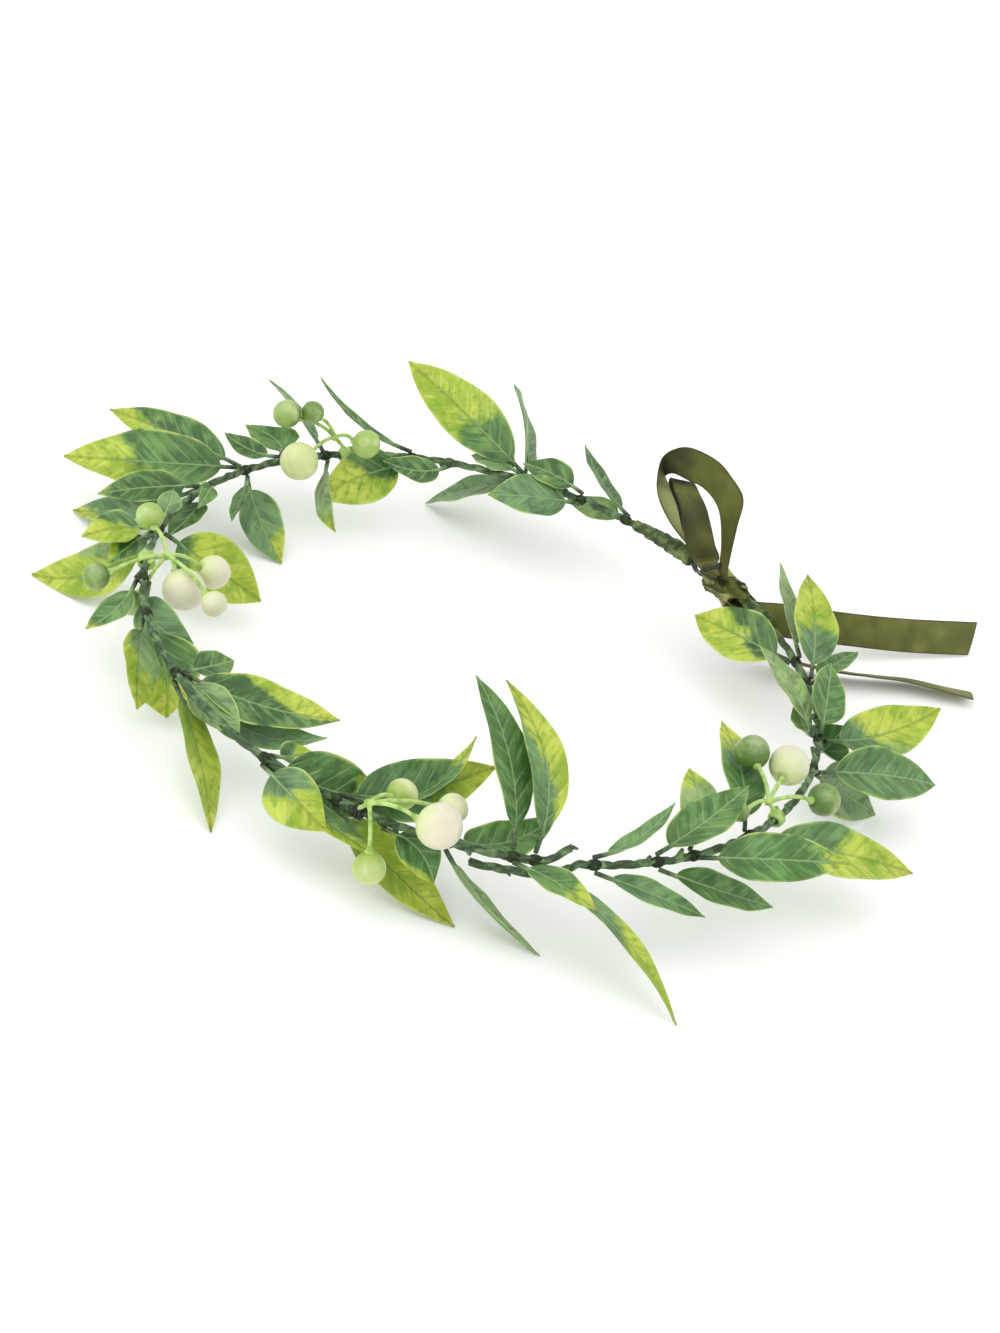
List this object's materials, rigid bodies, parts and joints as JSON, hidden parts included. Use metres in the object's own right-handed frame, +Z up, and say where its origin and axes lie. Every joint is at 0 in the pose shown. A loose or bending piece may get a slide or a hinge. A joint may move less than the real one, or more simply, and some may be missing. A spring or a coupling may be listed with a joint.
{
  "type": "leaf halo crown",
  "caption": "Leafy halo crown: two wired leaf sprigs with berry sprays bent into an open ring and tied at the back with a satin ribbon half bow.",
  "frame": {"origin": "centre of the ring, on the surface that the crown rests on", "axes": "+Z up out of the ring, +Y towards the back with the ribbon tie, +X towards the side that is on the right seen from the front with the crown resting level"},
  "size_m": [0.2524, 0.2841, 0.06],
  "materials": {
    "leaf": "painted leaf cloth",
    "stem": "matte dark green wrap",
    "wire": "dark wrapped wire",
    "tape": "crinkled floral tape",
    "ribbon": "satin ribbon",
    "berry_stalk": "matte",
    "berry_white": "pearly satin",
    "berry_pale": "pearly satin",
    "berry_green": "pearly satin"
  },
  "bodies": {
    "root": {"stem_left": "stem", "stem_right": "stem", "tape_left": "tape", "tape_right": "tape", "wire_eye": "wire", "ribbon_knot": "ribbon", "ribbon_open_loop": "ribbon", "ribbon_flat_loop": "ribbon", "ribbon_long_tail": "ribbon", "ribbon_short_tail": "ribbon", "leaf_whorl_01": "leaf", "leaf_whorl_02": "leaf", "leaf_whorl_03": "leaf", "leaf_whorl_04": "leaf", "leaf_whorl_05": "leaf", "leaf_whorl_06": "leaf", "leaf_whorl_07": "leaf", "leaf_whorl_08": "leaf", "leaf_whorl_09": "leaf", "leaf_whorl_10": "leaf", "leaf_whorl_11": "leaf", "leaf_whorl_12": "leaf", "leaf_whorl_13": "leaf", "leaf_whorl_14": "leaf", "leaf_whorl_15": "leaf", "leaf_whorl_16": "leaf", "leaf_whorl_17": "leaf", "leaf_whorl_18": "leaf", "leaf_whorl_19": "leaf", "leaf_whorl_20": "leaf", "leaf_whorl_21": "leaf", "leaf_whorl_22": "leaf", "leaf_whorl_23": "leaf", "leaf_whorl_24": "leaf", "leaf_whorl_25": "leaf", "leaf_whorl_26": "leaf", "leaf_whorl_27": "leaf", "stalk_spray_01": "berry_stalk", "stalk_spray_02": "berry_stalk", "stalk_spray_03": "berry_stalk", "stalk_spray_04": "berry_stalk", "berry_01": "berry_green", "berry_02": "berry_green", "berry_03": "berry_pale", "berry_04": "berry_pale", "berry_05": "berry_pale", "berry_06": "berry_green", "berry_07": "berry_green", "berry_08": "berry_white", "berry_09": "berry_white", "berry_10": "berry_white", "berry_11": "berry_pale", "berry_12": "berry_white", "berry_13": "berry_white", "berry_14": "berry_pale", "berry_15": "berry_green", "berry_16": "berry_pale", "berry_17": "berry_green", "berry_18": "berry_green"}
  },
  "joints": []
}
